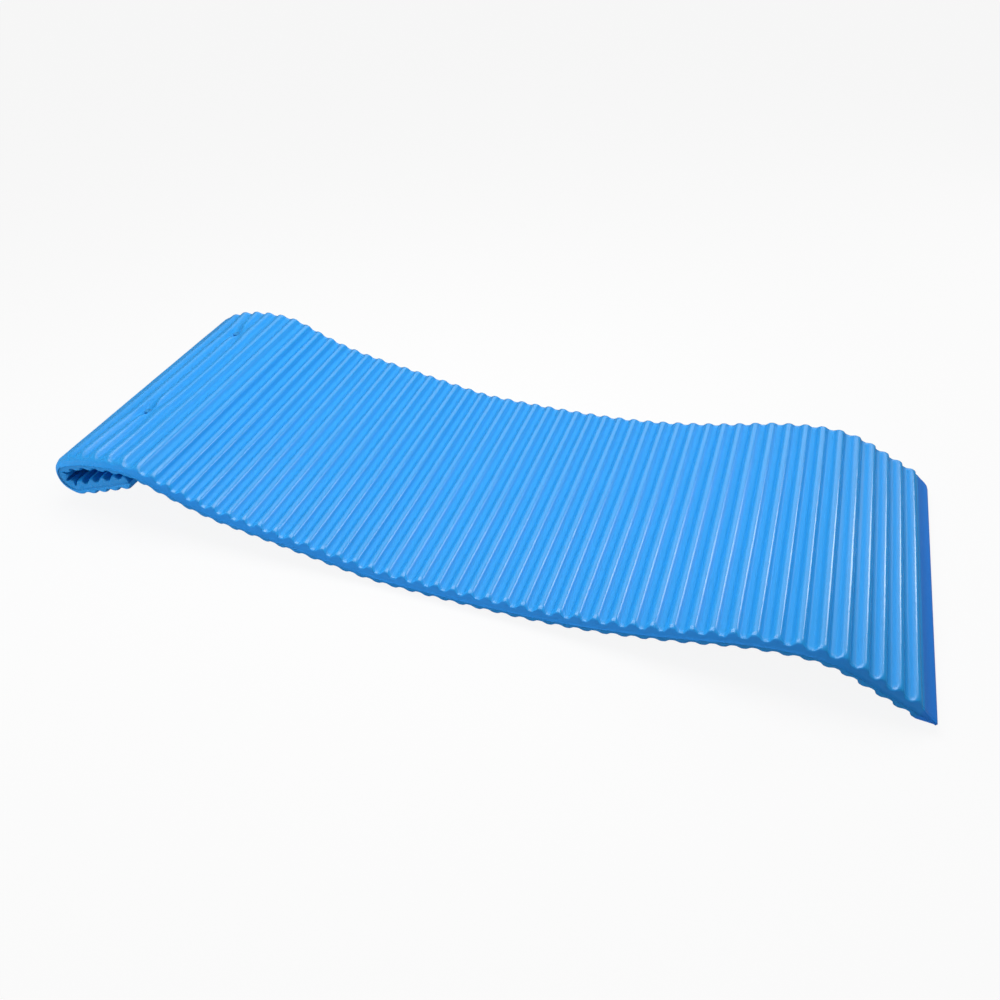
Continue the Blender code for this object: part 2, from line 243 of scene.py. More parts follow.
class Lie:
    """How the mat lies: the line at half its thickness, in the XZ plane.

    LIE gives the slope in degrees at a rib's number; the line is walked from the fold in equal
    steps both ways, and the tucked end climbs back until it just meets the layer above.
    """

    steps_per_rib = 24
    halvings = 40
    nothing_near = 1.0

    def __init__(self, sizes: SheetSizes) -> None:
        """Walk the line for a set of sheet sizes.

        Args:
            sizes: The sheet's sizes.
        """
        self.sizes = sizes
        self.step = sizes.pitch / self.steps_per_rib
        self.first = math.floor((sizes.head_end - sizes.pitch) / self.step)
        self.last = math.ceil((sizes.lip_end + sizes.pitch) / self.step)
        self.tuck = self.find_tuck()
        self.walk(self.tuck)
        self.shift = np.zeros(3)

    def slope(self, distance: np.ndarray) -> np.ndarray:
        """Slope of the line towards the foot.

        Args:
            distance: Distances along the mat.

        Returns:
            Slopes in radians.
        """
        ribs = [rib for rib, _ in LIE]
        degrees = [degree for _, degree in LIE]
        ahead = np.radians(np.interp(distance / self.sizes.pitch, ribs, degrees))
        turned = np.minimum(np.maximum(-distance, 0.0), self.fold_length)
        return ahead + turned / self.sizes.fold_radius

    def walk(self, tuck: float) -> None:
        """Walk the line for one slope of the tucked layer.

        Args:
            tuck: Slope by which the tucked layer climbs back, in radians.
        """
        start = math.radians(LIE[0][1])
        self.fold_length = (math.pi + tuck - start) * self.sizes.fold_radius
        index = np.arange(self.first, self.last)
        angle = self.slope((index + 0.5) * self.step)
        moves = np.stack([np.cos(angle), np.zeros(len(index)), np.sin(angle)], axis=1) * self.step
        points = np.vstack([np.zeros(3), np.cumsum(moves, axis=0)])
        self.points = points - points[-self.first]
        self.distances = np.arange(self.first, self.last + 1) * self.step

    def find_tuck(self) -> float:
        """Slope at which the tucked end just reaches the layer above it.

        Returns:
            The slope in radians.
        """
        sizes = self.sizes
        wanted = 2 * (sizes.crest_height - sizes.rib_crush) + sizes.layer_gap
        low, high = 0.0, sizes.tuck_limit
        for _ in range(self.halvings):
            middle = (low + high) / 2
            self.walk(middle)
            end = self.point(np.array([sizes.head_end]))
            if self.reach_to_top(end)[0] > wanted:
                low = middle
            else:
                high = middle
        return low

    def point(self, distance: np.ndarray) -> np.ndarray:
        """Places on the line, one row for each distance."""
        return np.stack(
            [np.interp(distance, self.distances, self.points[:, axis]) for axis in range(3)], axis=1)

    def normal(self, distance: np.ndarray) -> np.ndarray:
        """Unit vectors towards the upper skin, one row for each distance."""
        angle = self.slope(distance)
        return np.stack([-np.sin(angle), np.zeros(len(angle)), np.cos(angle)], axis=1)

    def reach_to_top(self, places: np.ndarray) -> np.ndarray:
        """Shortest distances to the layer above the tucked one.

        Args:
            places: A row for each place.

        Returns:
            A distance for each place.
        """
        start = -self.first
        # The layer above is looked for from the fold's top over twice the tucked length.
        top = self.points[start:3 * start]
        return np.linalg.norm(places[:, None, :] - top[None, :, :], axis=2).min(axis=1)

    def reach_to_tuck(self, places: np.ndarray) -> np.ndarray:
        """Shortest distances to the straight tucked layer.

        Args:
            places: A row for each place.

        Returns:
            A distance for each place.
        """
        start, end = self.point(np.array([-self.fold_length, self.sizes.head_end]))
        run = end - start
        share = np.clip((places - start) @ run / (run @ run), 0.0, 1.0)
        return np.linalg.norm(places - start - share[:, None] * run, axis=1)

    def room(self, distance: np.ndarray) -> np.ndarray:
        """Room under the lower face, which is pressed flat where the layers meet.

        Args:
            distance: Distances along the mat.

        Returns:
            The greatest height of the lower face at each distance.
        """
        places = self.point(distance)
        reach = np.full(len(distance), self.nothing_near)
        ahead = distance >= 0.0
        behind = distance <= -self.fold_length
        reach[ahead] = self.reach_to_tuck(places[ahead])
        reach[behind] = self.reach_to_top(places[behind])
        return (reach - self.sizes.layer_gap) / 2

    def bend(self, distance: np.ndarray) -> np.ndarray:
        """How fully the fold bends the mat at each distance, from 0 to 1."""
        outside = np.maximum(distance, -self.fold_length - distance)
        return np.clip(1.0 - np.maximum(outside, 0.0) / self.sizes.pitch, 0.0, 1.0)


class Rows:
    """Stations along the mat, which become the rows of each skin.

    Attributes:
        shares: Places of the rows from a groove to the crest's middle, in pitches.
        head_wall: Share of the head wall's length and of the full height, from the end inwards.
        foot_wall: The same for the foot wall, from inside to the end.
        lip_steps: Number of rows along the lip.
        head_clear: Where the ribs' rows start inside the head wall, in lengths of that wall.
        foot_clear: Where the lip's rows stop inside the foot wall, in lengths of that wall.
    """

    shares = (0.0, 0.055, 0.115, 0.17, 0.22, 0.275, 0.34, 0.42)
    head_wall = ((0.0, 0.0), (0.05, 0.0), (0.18, 0.12), (0.45, 0.45), (0.75, 0.8), (1.0, 0.95),
                 (1.25, 1.0))
    foot_wall = ((1.35, 1.0), (1.0, 0.93), (0.55, 0.62), (0.25, 0.2), (0.05, 0.0), (0.0, 0.0))
    lip_steps = 12
    head_clear = 0.25
    foot_clear = 0.35

    def __init__(self, lie: Lie, mould: MouldSizes) -> None:
        """Lay out the rows.

        Args:
            lie: How the mat lies.
            mould: Softness of the moulded form.
        """
        self.lie = lie
        self.mould = mould
        self.sizes = lie.sizes
        self.distance, self.end_share, self.closed, self.lift = self.lay_out()

    def lay_out(self) -> tuple[np.ndarray, np.ndarray, np.ndarray, np.ndarray]:
        """Distance, share of full height, closing and flange height of each row.

        Returns:
            Four arrays with a value for each row.
        """
        sizes = self.sizes
        flange = self.mould.flange_width
        head_wall = sizes.head_nose + flange
        rows = [(sizes.head_end - head_wall + share * head_wall, height)
                for share, height in self.head_wall]
        one_side = [share * sizes.pitch for share in self.shares]
        for rib in range(-sizes.tucked_ribs, sizes.top_ribs):
            start = rib * sizes.pitch
            inside = [start + step for step in one_side[1:]]
            rows += [(place, 1.0) for place in [start] + inside + [start + sizes.pitch / 2]]
            rows += [(2 * start + sizes.pitch - place, 1.0) for place in reversed(inside)]
        first = sizes.head_end + self.head_clear * head_wall
        rows = [row for row in rows if row[1] < 1.0 or row[0] > first]
        foot_wall = sizes.lip_nose + flange
        last = sizes.lip_end - self.foot_clear * foot_wall
        rows += [(sizes.lip_start + (last - sizes.lip_start) * step / self.lip_steps, 1.0)
                 for step in range(self.lip_steps)]
        rows += [(sizes.lip_end + foot_wall - share * foot_wall, height)
                 for share, height in self.foot_wall]
        distance = np.array([place for place, _ in rows])
        height = np.array([share for _, share in rows])
        closed = np.zeros(len(rows))
        closed[0] = closed[-1] = 1.0
        lift = np.where((height < 1.0) & (closed < 0.5), self.mould.flange_height, 0.0)
        return distance, height, closed, lift

    def lip_height(self, face: Face) -> np.ndarray:
        """Height of the lip at each row, or -1 where the ribs still run.

        Args:
            face: The face of the sheet.

        Returns:
            A height for each row.
        """
        sizes = self.sizes
        start, height = sizes.lip_start, sizes.crest_height - self.mould.rise
        if face is Face.LOWER:
            start, height = sizes.lip_start + self.mould.crest / 2, sizes.crest_height
        share = np.clip((self.distance - start) / (sizes.lip_end - start), 0.0, 1.0)
        eased = share * (2.0 - share) if face is Face.UPPER else share
        taper = height + eased * (sizes.lip_edge / 2 - height)
        return np.where(self.distance > start, taper, -1.0)

    def corner_cut(self, radius: float) -> np.ndarray:
        """How far a rounded corner of the lip cuts in from its edge.

        Args:
            radius: The corner's radius.

        Returns:
            A distance for each row.
        """
        end = self.sizes.lip_end + self.sizes.lip_nose
        past = np.clip(self.distance - (end - radius), 0.0, radius)
        return radius - np.sqrt(radius ** 2 - past ** 2)

    def make(self) -> bpy.types.Object:
        """Line object with a point and its values for each row.

        Returns:
            The line, for the node tree to read.
        """
        lie, sizes, distance = self.lie, self.sizes, self.distance
        room = np.maximum(lie.room(distance), self.mould.least_room)
        values = {
            "along": distance,
            "up": lie.normal(distance),
            "state": np.stack([lie.bend(distance), room, 1.0 - self.closed], axis=1),
            "ends": np.stack(
                [self.lip_height(Face.UPPER), self.lip_height(Face.LOWER), self.end_share], axis=1),
            "cuts": np.stack([
                self.corner_cut(sizes.lip_corner_near), self.corner_cut(sizes.lip_corner_far),
                self.lift], axis=1),
        }
        return line_object("rows", lie.point(distance) + lie.shift, values)


@dataclass(frozen=True)
class Column:
    """One point of the section across a skin, measured from one edge of the mat.

    Attributes:
        edge: The edge that it is measured from.
        face: The face that it belongs to.
        share: How far up the leaning wall it is, from the seam to the rim.
        turn: How far round the rim it is, from the wall to the top.
        extra: Distance inwards beyond that.
        held: Whether its place across the mat is fixed, whatever the wall's height.
        inset: Distance inside the skin's outer face.
        lift: Height of the welded flange at the seam.
    """

    edge: Edge
    face: Face
    share: float = 0.0
    turn: float = 0.0
    extra: float = 0.0
    held: float = 0.0
    inset: float = 0.0
    lift: float = 0.0


@dataclass(frozen=True)
class Fineness:
    """Number of steps up a wall and round its rim, and the spacing of the columns on top."""

    wall: int
    rim: int
    spacing: float


class Section:
    """The section across the mat, as closed loops of columns."""

    shown = Fineness(wall=3, rim=5, spacing=0.030)
    hidden = Fineness(wall=1, rim=2, spacing=0.075)
    margin = 0.045
    beyond_rim = (0.004, 0.009, 0.016)
    tie_offsets = (0.005, 0.010, 0.016, 0.024, 0.034)

    def __init__(self, sizes: SheetSizes, mould: MouldSizes, ties: Sequence[float]) -> None:
        """Set out the section.

        Args:
            sizes: The sheet's sizes.
            mould: Softness of the moulded form.
            ties: Places of the ties across the mat.
        """
        self.half = sizes.width / 2
        self.mould = mould
        self.ties = ties
        self.seam_places = self.top_places(self.hidden.spacing)
        self.seam_places += [side * (self.half - extra) for extra in (0.0, *self.beyond_rim)
                             for side in (-1, 1)]

    def top_places(self, spacing: float) -> list[float]:
        """Places of the columns on top, closer together round the ties.

        Args:
            spacing: Distance between columns away from the ties.

        Returns:
            The places across the mat, in order.
        """
        inner = self.half - self.margin
        count = round(2 * inner / spacing)
        places = [-inner + 2 * inner * step / count for step in range(count + 1)]
        for tie in self.ties:
            reach = self.tie_offsets[-1] + self.shown.spacing / 3
            places = [place for place in places if abs(place - tie) > reach]
            places += [tie + side * offset for offset in self.tie_offsets for side in (-1, 1)]
            places.append(tie)
        return sorted(places)

    def outline(self, face: Face, inset: float, fineness: Fineness, flange: bool) -> list[Column]:
        """Columns of one face, from the near seam over the top to the far seam.

        Args:
            face: The face of the sheet.
            inset: How far inside the outer face they lie.
            fineness: Steps up the walls and round the rims.
            flange: Whether they start at the tip of the welded flange.

        Returns:
            The columns in order.
        """
        near = self.wall(Edge.NEAR, face, inset, fineness, flange)
        far = self.wall(Edge.FAR, face, inset, fineness, flange)
        top = [Column(Edge.NEAR if place < 0.0 else Edge.FAR, face, share=1.0, turn=1.0,
                      extra=self.half - abs(place), held=1.0, inset=inset)
               for place in self.top_places(fineness.spacing)]
        return near + top + far[::-1]

    def wall(self, edge: Edge, face: Face, inset: float, fineness: Fineness,
             flange: bool) -> list[Column]:
        """Columns up one leaning wall and round its rim.

        Args:
            edge: The edge that the wall belongs to.
            face: The face of the sheet.
            inset: How far inside the outer face they lie.
            fineness: Steps up the wall and round the rim.
            flange: Whether they start at the tip of the welded flange.

        Returns:
            The columns from the seam inwards.
        """
        columns = [Column(edge, face, inset=inset)]
        if flange:
            tip, lift = -self.mould.flange_width, self.mould.flange_height
            columns = [Column(edge, face, extra=tip), Column(edge, face, extra=tip, lift=lift),
                       Column(edge, face, lift=lift)]
        columns += [Column(edge, face, step / fineness.wall, inset=inset)
                    for step in range(1, fineness.wall)]
        columns += [Column(edge, face, 1.0, step / fineness.rim, inset=inset)
                    for step in range(fineness.rim + 1)]
        columns += [Column(edge, face, 1.0, 1.0, extra, inset=inset) for extra in self.beyond_rim]
        return columns

    def skin(self, face: Face) -> list[Column]:
        """Closed loop of a skin: its outer face and back along its inner one.

        Args:
            face: The face of the sheet that it covers.

        Returns:
            The columns in order.
        """
        outer = self.outline(face, 0.0, self.shown, True)
        inner = self.outline(face, self.mould.skin, self.hidden, False)
        loop = outer + inner[::-1]
        return loop if face is Face.UPPER else loop[::-1]

    def core(self) -> list[Column]:
        """Closed loop of the foam core: over the top and back below.

        Returns:
            The columns in order.
        """
        inset = self.mould.core_inset
        upper = self.outline(Face.UPPER, inset, self.hidden, False)
        lower = self.outline(Face.LOWER, inset, self.hidden, False)
        return upper + lower[1:-1][::-1]

    def seam_place(self, column: Column) -> float:
        """Place of a column where the mat's ends close, shared by fine and coarse faces."""
        own = column.edge.value * (self.half - max(column.extra, 0.0))
        return min(self.seam_places, key=lambda place: abs(place - own))

    def make(self, name: str, loop: Sequence[Column]) -> bpy.types.Object:
        """Line object with a point and its values for each column, closed on itself.

        Args:
            name: Name of the line.
            loop: The columns, in order.

        Returns:
            The line, for the node tree to read.
        """
        columns = [*loop, loop[0]]
        seams = [self.seam_place(column) for column in columns]
        values = {
            "wall": np.array([[c.edge.value, c.share, c.turn] for c in columns]),
            "depth": np.array([[c.extra, c.held, c.inset] for c in columns]),
            "seam": np.array([[seam, c.lift, c.face.value] for seam, c in zip(seams, columns)]),
        }
        # Only the values are read, so the points just stand in a line.
        places = np.outer(np.arange(len(columns)), (self.margin, 0.0, 0.0))
        return line_object(name, places, values)


def put_in_scene(name: str, data: bpy.types.ID) -> bpy.types.Object:
    """New object round its data, linked to the scene.

    Args:
        name: Name of the object.
        data: Its mesh, lamp or camera.

    Returns:
        The object.
    """
    item = bpy.data.objects.new(name, data)
    bpy.context.scene.collection.objects.link(item)
    return item


def line_object(name: str, places: np.ndarray, values: dict[str, np.ndarray]) -> bpy.types.Object:
    """Line of points that carries named values.

    Args:
        name: Name of the object.
        places: A row for each point.
        values: Arrays by name, with a number or a row of three for each point.

    Returns:
        The object, linked to the scene.
    """
    mesh = bpy.data.meshes.new(name)
    links = [(index, index + 1) for index in range(len(places) - 1)]
    mesh.from_pydata([tuple(place) for place in places], links, [])
    for key, array in values.items():
        kind = "FLOAT" if array.ndim == 1 else "FLOAT_VECTOR"
        attribute = mesh.attributes.new(key, kind, "POINT")
        target = "value" if array.ndim == 1 else "vector"
        attribute.data.foreach_set(target, array.astype(np.float32).ravel())
    return put_in_scene(name, mesh)


Inputs = dict[Union[int, str], object]
Number = Union["Term", float]


class Term:
    """A value in a node tree, so that a sum in the tree reads as a sum."""

    def __init__(self, bench: "Bench", socket: bpy.types.NodeSocket) -> None:
        """Wrap an output socket of a bench's tree."""
        self.bench = bench
        self.socket = socket

    def __add__(self, other: Number) -> "Term":
        """This value and another one."""
        return self.bench.math("ADD", self, other)

    def __sub__(self, other: Number) -> "Term":
        """This value less another one."""
        return self.bench.math("SUBTRACT", self, other)

    def __rsub__(self, other: float) -> "Term":
        """A number less this value."""
        return self.bench.math("SUBTRACT", other, self)

    def __mul__(self, other: Number) -> "Term":
        """This value times another one."""
        return self.bench.math("MULTIPLY", self, other)

    def __truediv__(self, other: Number) -> "Term":
        """This value divided by another one."""
        return self.bench.math("DIVIDE", self, other)

    __radd__ = __add__
    __rmul__ = __mul__


class Bench:
    """Builds a node tree, one step at a time."""

    def __init__(self, tree: bpy.types.NodeTree) -> None:
        """Work on a node tree."""
        self.tree = tree

    def node(self, kind: str, inputs: Inputs, **settings: object) -> bpy.types.Node:
        """Add a node.

        Args:
            kind: Blender's name for the node.
            inputs: Values or terms for its inputs, by name or number.
            settings: Properties of the node.

        Returns:
            The node.
        """
        item = self.tree.nodes.new(kind)
        for key, value in settings.items():
            setattr(item, key, value)
        for key, value in inputs.items():
            if isinstance(value, Term):
                self.link(value, item.inputs[key])
            else:
                item.inputs[key].default_value = value
        return item

    def link(self, value: Term, socket: bpy.types.NodeSocket) -> None:
        """Send a value to an input socket."""
        self.tree.links.new(value.socket, socket)

    def step(self, kind: str, inputs: Inputs, key: Union[int, str] = 0, **settings: object) -> Term:
        """One output of a new node, by its name or number."""
        return Term(self, self.node(kind, inputs, **settings).outputs[key])

    def math(self, operation: str, *values: Number) -> Term:
        """One step of arithmetic."""
        return self.step("ShaderNodeMath", dict(enumerate(values)), operation=operation)

    def separate(self, vector: Term) -> tuple[Term, ...]:
        """The three values of a vector."""
        item = self.node("ShaderNodeSeparateXYZ", {0: vector})
        return tuple(Term(self, socket) for socket in item.outputs)

    def stepped(self, value: Term, low: Number, high: Number) -> Term:
        """Smooth step from 0 at low to 1 at high."""
        inputs = {0: value, 1: low, 2: high}
        return self.step("ShaderNodeMapRange", inputs, interpolation_type="SMOOTHSTEP")

    def noise(self, place: Term, scale: float, detail: float) -> Term:
        """Noise from 0 to 1."""
        return self.step("ShaderNodeTexNoise", {"Vector": place, "Scale": scale, "Detail": detail})


class RibBench(Bench):
    """Builds a tree of geometry nodes with named inputs."""

    def __init__(self, name: str) -> None:
        """Start an empty tree.

        Args:
            name: Name of the tree.
        """
        super().__init__(bpy.data.node_groups.new(name, "GeometryNodeTree"))
        for way in ("INPUT", "OUTPUT"):
            self.tree.interface.new_socket("Geometry", in_out=way, socket_type="NodeSocketGeometry")
        self.entry = self.tree.nodes.new("NodeGroupInput")
        self.exit = self.tree.nodes.new("NodeGroupOutput")
        self.identifiers: dict[str, str] = {}

    def input(self, name: str, kind: str = "NodeSocketFloat") -> Term:
        """Add a named input.

        Args:
            name: Name of the input.
            kind: Blender's name for its kind of socket.

        Returns:
            The input's value.
        """
        socket = self.tree.interface.new_socket(name, in_out="INPUT", socket_type=kind)
        self.identifiers[name] = socket.identifier
        return Term(self, self.entry.outputs[name])

    def combine(self, x: Number, y: Number, z: Number) -> Term:
        """Vector from three values."""
        return self.step("ShaderNodeCombineXYZ", {0: x, 1: y, 2: z})

    def moved(self, place: Term, direction: Term, distance: Term) -> Term:
        """Place moved a distance along a direction."""
        way = self.step("ShaderNodeVectorMath", {0: direction, "Scale": distance}, operation="SCALE")
        return self.step("ShaderNodeVectorMath", {0: place, 1: way}, operation="ADD")

    def blend(self, share: Term, start: Number, end: Number) -> Term:
        """Value between start and end."""
        return start * (1.0 - share) + end * share

    def uneven(self, place: Term, scale: float, detail: float) -> Term:
        """Noise from -1 to 1."""
        return (self.noise(place, scale, detail) - 0.5) * 2.0

    def attribute(self, name: str, kind: str) -> Term:
        """Named value that a geometry carries."""
        return self.step("GeometryNodeInputNamedAttribute", {"Name": name}, data_type=kind)

    def sample(self, geometry: Term, value: Term, index: Term, kind: str) -> Term:
        """Value of one point of another geometry."""
        inputs = {"Geometry": geometry, "Value": value, "Index": index}
        return self.step("GeometryNodeSampleIndex", inputs, data_type=kind, domain="POINT", clamp=True)

    def store(self, geometry: Term, name: str, value: Term) -> Term:
        """Geometry that also carries a named number."""
        inputs = {"Geometry": geometry, "Name": name, "Value": value}
        return self.step("GeometryNodeStoreNamedAttribute", inputs, data_type="FLOAT", domain="POINT")

    def point_count(self, geometry: Term) -> Term:
        """Number of points of a geometry."""
        return self.step("GeometryNodeAttributeDomainSize", {0: geometry}, "Point Count")


class SheetTree:
    """Node tree that sweeps a section along the mat and moulds the ribs into it.

    The object that carries the modifier is the line of rows, and the section is another line. Each
    point of a grid reads its row and its column, and the tree works out its height from the rib
    rule: smooth steps from groove to crest at the pitch, the lower face half a pitch behind the
    upper one.
    """

    merge_distance = 0.000002
    outer_limit = 0.00001
    mark_count = 4

    def __init__(self, sizes: SheetSizes, mould: MouldSizes, ties: TieSizes) -> None:
        """Build the tree.

        Args:
            sizes: The sheet's sizes.
            mould: Softness of the moulded form.
            ties: Sizes of the ties' dimples.
        """
        self.sizes = sizes
        self.mould = mould
        self.ties = ties
        self.bench = RibBench("ribbed_sheet")
        self.values: dict[str, float] = {}
        self.marks = self.mark_inputs()
        self.build()

    def size(self, name: str, value: float) -> Term:
        """Named size of the tree, with the value that the mat has."""
        self.values[name] = value
        return self.bench.input(name)

    def mark_inputs(self) -> list[tuple[Term, Term]]:
        """Places of the ties on the upper skin, as named inputs.

        Returns:
            The distance along the mat and the place across it, for each mark.
        """
        marks = []
        for number in range(self.mark_count):
            mark = self.bench.input(f"Tie mark {number + 1}", "NodeSocketVector")
            marks.append(self.bench.separate(mark)[:2])
        return marks

    def build(self) -> None:
        """Lay out the whole tree."""
        bench = self.bench
        section_input = bench.input("Section", "NodeSocketObject")
        material_input = bench.input("Finish", "NodeSocketMaterial")
        rows = Term(bench, bench.entry.outputs["Geometry"])
        section = bench.step("GeometryNodeObjectInfo", {"Object": section_input}, "Geometry")
        columns = bench.point_count(section)
        grid = {"Vertices X": bench.point_count(rows), "Vertices Y": columns}
        mesh = bench.step("GeometryNodeMeshGrid", grid, "Mesh")
        index = bench.step("GeometryNodeInputIndex", {})
        row = bench.math("FLOOR", index / columns)
        place, polish, wall = self.mould_points(rows, section, row, index - row * columns)
        mesh = bench.step("GeometryNodeSetPosition", {"Geometry": mesh, "Position": place})
        along = bench.sample(rows, bench.attribute("along", "FLOAT"), row, "FLOAT")
        for name, value in (("along", along), ("polish", polish), ("wall", wall)):
            mesh = bench.store(mesh, name, value)
        for kind, inputs in (
                ("GeometryNodeMergeByDistance", {"Distance": self.merge_distance}),
                ("GeometryNodeSetShadeSmooth", {}),
                ("GeometryNodeRealizeInstances", {}),
                ("GeometryNodeSetMaterial", {"Material": material_input})):
            mesh = bench.step(kind, {"Geometry": mesh} | inputs)
        bench.link(mesh, bench.exit.inputs[0])

    def mould_points(self, rows: Term, section: Term, row: Term,
                     column: Term) -> tuple[Term, Term, Term]:
        """Place of each point.

        Args:
            rows: The line of rows.
            section: The line of columns.
            row: Number of each point's row.
            column: Number of each point's column.

        Returns:
            The place, how polished the skin is there, and 1 on the walls but 0 on top, which is the mask
            of the painted shade on the walls.
        """
        bench, mould, pitch = self.bench, self.mould, self.sizes.pitch
        spine = bench.sample(rows, bench.step("GeometryNodeInputPosition", {}), row, "FLOAT_VECTOR")
        up = bench.sample(rows, bench.attribute("up", "FLOAT_VECTOR"), row, "FLOAT_VECTOR")
        along = bench.sample(rows, bench.attribute("along", "FLOAT"), row, "FLOAT")
        bend, room, opened = self.row_values(rows, "state", row)
        lip_upper, lip_lower, end_share = self.row_values(rows, "ends", row)
        cut_near, cut_far, lift = self.row_values(rows, "cuts", row)
        hand, share, turn = self.row_values(section, "wall", column)
        extra, held, inset = self.row_values(section, "depth", column)
        seam_place, flange, face = self.row_values(section, "seam", column)
        is_upper = bench.math("GREATER_THAN", face, 0.0)
        is_far = bench.math("GREATER_THAN", hand, 0.0)
        half = self.size("Width", self.sizes.width) * 0.5
        tucked = 1.0 - bench.stepped(along, mould.tuck_stop * pitch, mould.tuck_start * pitch)
        head = 1.0 - bench.stepped(along, mould.head_start, mould.head_stop) - tucked
        head = head * is_upper * (1.0 - is_far)
        upper_lean = self.size("Upper lean", mould.lean_upper) + head * mould.lean_head
        upper_lean = bench.blend(tucked, upper_lean, mould.lean_tucked)
        lean = bench.blend(is_upper, self.size("Lower lean", mould.lean_lower), upper_lean)
        height, crest = self.rib_height(along, hand * (half - extra), bend, room, is_upper)
        ends = self.rib_ends(extra, turn, head)
        low = self.sizes.crest_height - mould.rise
        sunk = bench.math("MINIMUM", height, bench.blend(ends, height, low))
        lip = bench.blend(is_upper, lip_lower, lip_upper)
        in_lip = bench.math("GREATER_THAN", lip, 0.0)
        height = bench.blend(in_lip, sunk, lip) * end_share
        inward, drop = self.rim(lean, turn, share, head)
        cut = bench.blend(is_far, cut_near, cut_far)
        corner = cut * (1.0 - bench.math("MAXIMUM", extra, 0.0) / half)
        slant = bench.math("TANGENT", lean)
        inset_across = inset * bench.math("SQRT", slant * slant + 1.0)
        leaning = (slant * height * share + inward + inset_across) * (1.0 - held)
        reach = half - leaning - extra - corner
        closed_reach = bench.math("ABSOLUTE", seam_place) * (1.0 - cut / half)
        across = hand * bench.blend(opened, closed_reach, reach)
        gap = self.size("Skin gap", mould.skin_gap) * 0.5
        end_gap = self.size("End gap", mould.skin_gap) * 0.5
        is_outer = bench.math("LESS_THAN", inset, self.outer_limit)
        level = height * share - (drop + inset) * opened + flange * opened
        level = bench.math("MAXIMUM", level, bench.blend(opened, end_gap, gap) + lift * is_outer)
        x, _, z = bench.separate(bench.moved(spine, up, level * face))
        floor = bench.math("MAXIMUM", z, inset)
        near_edge = 1.0 - bench.stepped(extra, 0.0, mould.polished_edge)
        polish = bench.math("MAXIMUM", crest * (1.0 - in_lip), near_edge)
        return bench.combine(x, across, floor), polish, 1.0 - turn

    def rib_ends(self, extra: Term, turn: Term, head: Term) -> Term:
        """How far the ribs have sunk near the edge, deeper and longer at the head.

        Args:
            extra: Distance inwards beyond the rim.
            turn: How far round the rim the point is.
            head: How far the rib ends are as at the head.

        Returns:
            A share of the rise from groove to crest.
        """
        bench, mould = self.bench, self.mould
        length = bench.blend(head, mould.rib_end, mould.rib_end_head)
        depth = bench.blend(head, mould.rib_end_depth, mould.rib_end_depth_head)
        inward = bench.math("MAXIMUM", extra, 0.0) + turn * mould.rim_radius
        return (1.0 - bench.stepped(inward / length, 0.0, 1.0)) * depth

    def rim(self, lean: Term, turn: Term, share: Term, head: Term) -> tuple[Term, Term]:
        """Rounding between a leaning wall and the top.

        Args:
            lean: Lean of the wall from upright, in radians.
            turn: How far round the rim the point is.
            share: How far up the wall the point is.
            head: How far the rim is as soft as at the head.

        Returns:
            The distance inwards from the wall's line and the drop from the top.
        """
        bench = self.bench
        radius = bench.blend(
            head, self.size("Rim radius", self.mould.rim_radius), self.mould.rim_radius_head)
        whole = math.pi / 2 - lean
        angle = whole * (1.0 - turn)
        reach = radius * bench.math("TANGENT", whole * 0.5)
        inward = (reach - radius * bench.math("SINE", angle)) * share
        drop = radius * (1.0 - bench.math("COSINE", angle)) * share
        return inward, drop

    def row_values(self, geometry: Term, name: str, index: Term) -> tuple[Term, ...]:
        """Three values of a row or column that are kept as one vector."""
        vector = self.bench.attribute(name, "FLOAT_VECTOR")
        return self.bench.separate(self.bench.sample(geometry, vector, index, "FLOAT_VECTOR"))

    def rib_height(self, along: Term, across: Term, bend: Term, room: Term,
                   is_upper: Term) -> tuple[Term, Term]:
        """Height of the ribbed face over the middle of the sheet.

        Args:
            along: Distance along the mat.
            across: Place across the mat.
            bend: How fully the fold bends the mat there.
            room: Greatest height of the lower face there.
            is_upper: 1 on the upper face, 0 on the lower one.

        Returns:
            The height, and the share of the rise from groove to crest.
        """
        bench, sizes, mould = self.bench, self.sizes, self.mould
        pitch = self.size("Rib pitch", sizes.pitch)
        crest = self.size("Crest width", mould.crest)
        groove = self.size("Groove width", mould.groove)
        rise = self.size("Rib rise", mould.rise)
        top = self.size("Rise above the middle", sizes.rise * 0.5)
        thickness = self.size("Thickness", sizes.thickness)
        squeeze = self.size("Fold squeeze", mould.fold_squeeze)
        stretch = self.size("Fold stretch", sizes.fold_stretch)
        seen = self.wandering(along, across) + pitch * 0.5 * (1.0 - is_upper)
        phase = bench.math("FRACT", seen / pitch)
        from_groove = pitch * (0.5 - bench.math("ABSOLUTE", phase - 0.5))
        wide_crest = crest + squeeze * bend * (1.0 - is_upper)
        share = bench.stepped(from_groove, groove * 0.5, (pitch - wide_crest) * 0.5)
        kept = 1.0 - stretch * bend * is_upper
        height = thickness * 0.5 + kept * (top - rise * (1.0 - share))
        place = bench.combine(along, across, is_upper)
        height = height + bench.uneven(place, mould.ripple_scale, mould.ripple_detail) * mould.ripple
        pressed = bench.math("SMOOTH_MIN", height, room, mould.press_blend)
        height = bench.blend(is_upper, pressed, height)
        return self.dimpled(height, along, across, is_upper), share

